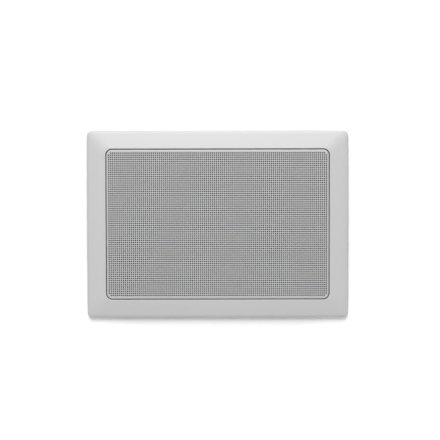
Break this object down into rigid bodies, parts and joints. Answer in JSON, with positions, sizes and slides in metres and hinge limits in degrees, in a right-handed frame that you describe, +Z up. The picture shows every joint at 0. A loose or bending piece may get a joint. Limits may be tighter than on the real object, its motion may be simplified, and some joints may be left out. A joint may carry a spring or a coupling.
{
  "type": "in-wall loudspeaker",
  "caption": "Wide in-wall loudspeaker with a bevelled bezel and perforated grille, a cone driver and a dome driver on a baffle, swing-out wall clamps and lever terminals behind.",
  "frame": {"origin": "centre of the wall cut-out, on the wall's surface, which is the plane of the bezel's back", "axes": "+X to the right seen from the room, +Y into the wall, +Z up; the front faces -Y"},
  "size_m": [0.305, 0.0811, 0.218],
  "materials": {
    "bezel_plastic": "fine even texture, satin",
    "grille_paint": "powder coat, satin",
    "scrim_cloth": "thin open weave",
    "basket_paint": "pressed steel, black paint",
    "gasket_foam": "dense foam",
    "surround_rubber": "moulded, matte",
    "cone_plastic": "moulded, satin",
    "cap_plastic": "smooth",
    "spider_cloth": "resin-treated weave",
    "former_film": "amber film",
    "copper_wire": "enamelled copper",
    "plated_steel": "zinc plated",
    "ferrite": "pressed and fired, ground faces",
    "black_screw": "black oxide",
    "driver_plastic": "moulded, satin",
    "dome_cloth": "coated weave",
    "board_laminate": "solder mask",
    "bright_screw": "zinc plated",
    "bobbin_plastic": "moulded",
    "capacitor_sleeve": "shrink sleeve",
    "resistor_ceramic": "cement case",
    "tab_brass": "stamped",
    "lever_red": "moulded",
    "lever_black": "moulded",
    "zinc_screw": "yellow zinc",
    "strip_laminate": "paper laminate",
    "clamp_plastic": "glass-filled, moulded"
  },
  "bodies": {
    "housing": {"frame": "bezel_plastic", "grille": "grille_paint", "grille_scrim": "scrim_cloth", "woofer_basket": "basket_paint", "woofer_gasket": "gasket_foam", "woofer_surround": "surround_rubber", "woofer_spider": "spider_cloth", "woofer_top_plate": "plated_steel", "woofer_magnet": "ferrite", "woofer_yoke": "plated_steel", "woofer_screws": "black_screw", "tweeter_faceplate": "driver_plastic", "tweeter_dome": "dome_cloth", "tweeter_top_plate": "plated_steel", "tweeter_magnet": "ferrite", "tweeter_yoke": "plated_steel", "tweeter_screws": "black_screw", "crossover_board": "board_laminate", "board_screws": "bright_screw", "inductor_bobbin": "bobbin_plastic", "inductor_winding": "copper_wire", "capacitor": "capacitor_sleeve", "resistor": "resistor_ceramic", "terminal_block": "driver_plastic", "terminal_block_screws": "bright_screw", "terminal_tabs": "tab_brass", "tag_strip": "strip_laminate", "woofer_tags": "tab_brass", "tweeter_tags": "tab_brass"},
    "cone": {"woofer_cone": "cone_plastic", "dust_cap": "cap_plastic", "coil_former": "former_film", "coil_winding": "copper_wire"},
    "positive_lever": {"lever_positive": "lever_red"},
    "negative_lever": {"lever_negative": "lever_black"},
    "screw_1": {"clamp_screw_1": "zinc_screw"},
    "arm_1": {"clamp_arm_1": "clamp_plastic"},
    "screw_2": {"clamp_screw_2": "zinc_screw"},
    "arm_2": {"clamp_arm_2": "clamp_plastic"},
    "screw_3": {"clamp_screw_3": "zinc_screw"},
    "arm_3": {"clamp_arm_3": "clamp_plastic"},
    "screw_4": {"clamp_screw_4": "zinc_screw"},
    "arm_4": {"clamp_arm_4": "clamp_plastic"}
  },
  "joints": [
    {"name": "cone_travel", "type": "slide", "parent": "housing", "child": "cone", "axis": [0, -1, 0], "range_m": [-0.0035, 0.0035], "stiffness_N_per_m": 1200, "deforming": ["woofer_surround", "woofer_spider"]},
    {"name": "positive_lever_lift", "type": "hinge", "parent": "housing", "child": "positive_lever", "pos_m": [0.099, 0.0211, 0.0556], "axis": [1, 0, 0], "range_deg": [0, 25], "stiffness_Nm_per_rad": 0.03, "springref_deg": -17.19},
    {"name": "negative_lever_lift", "type": "hinge", "parent": "housing", "child": "negative_lever", "pos_m": [0.077, 0.0211, 0.0556], "axis": [1, 0, 0], "range_deg": [0, 25], "stiffness_Nm_per_rad": 0.03, "springref_deg": -17.19},
    {"name": "clamp_1_swing", "type": "hinge", "parent": "housing", "child": "screw_1", "pos_m": [-0.102, 0, 0.078], "axis": [0, 1, 0], "range_deg": [0, 90]},
    {"name": "clamp_1_travel", "type": "slide", "parent": "screw_1", "child": "arm_1", "axis": [0, -1, 0], "range_m": [0, 0.035]},
    {"name": "clamp_2_swing", "type": "hinge", "parent": "housing", "child": "screw_2", "pos_m": [0.102, 0, 0.078], "axis": [0, 1, 0], "range_deg": [0, 90]},
    {"name": "clamp_2_travel", "type": "slide", "parent": "screw_2", "child": "arm_2", "axis": [0, -1, 0], "range_m": [0, 0.035]},
    {"name": "clamp_3_swing", "type": "hinge", "parent": "housing", "child": "screw_3", "pos_m": [0.102, 0, -0.078], "axis": [0, 1, 0], "range_deg": [0, 90]},
    {"name": "clamp_3_travel", "type": "slide", "parent": "screw_3", "child": "arm_3", "axis": [0, -1, 0], "range_m": [0, 0.035]},
    {"name": "clamp_4_swing", "type": "hinge", "parent": "housing", "child": "screw_4", "pos_m": [-0.102, 0, -0.078], "axis": [0, 1, 0], "range_deg": [0, 90]},
    {"name": "clamp_4_travel", "type": "slide", "parent": "screw_4", "child": "arm_4", "axis": [0, -1, 0], "range_m": [0, 0.035]}
  ]
}
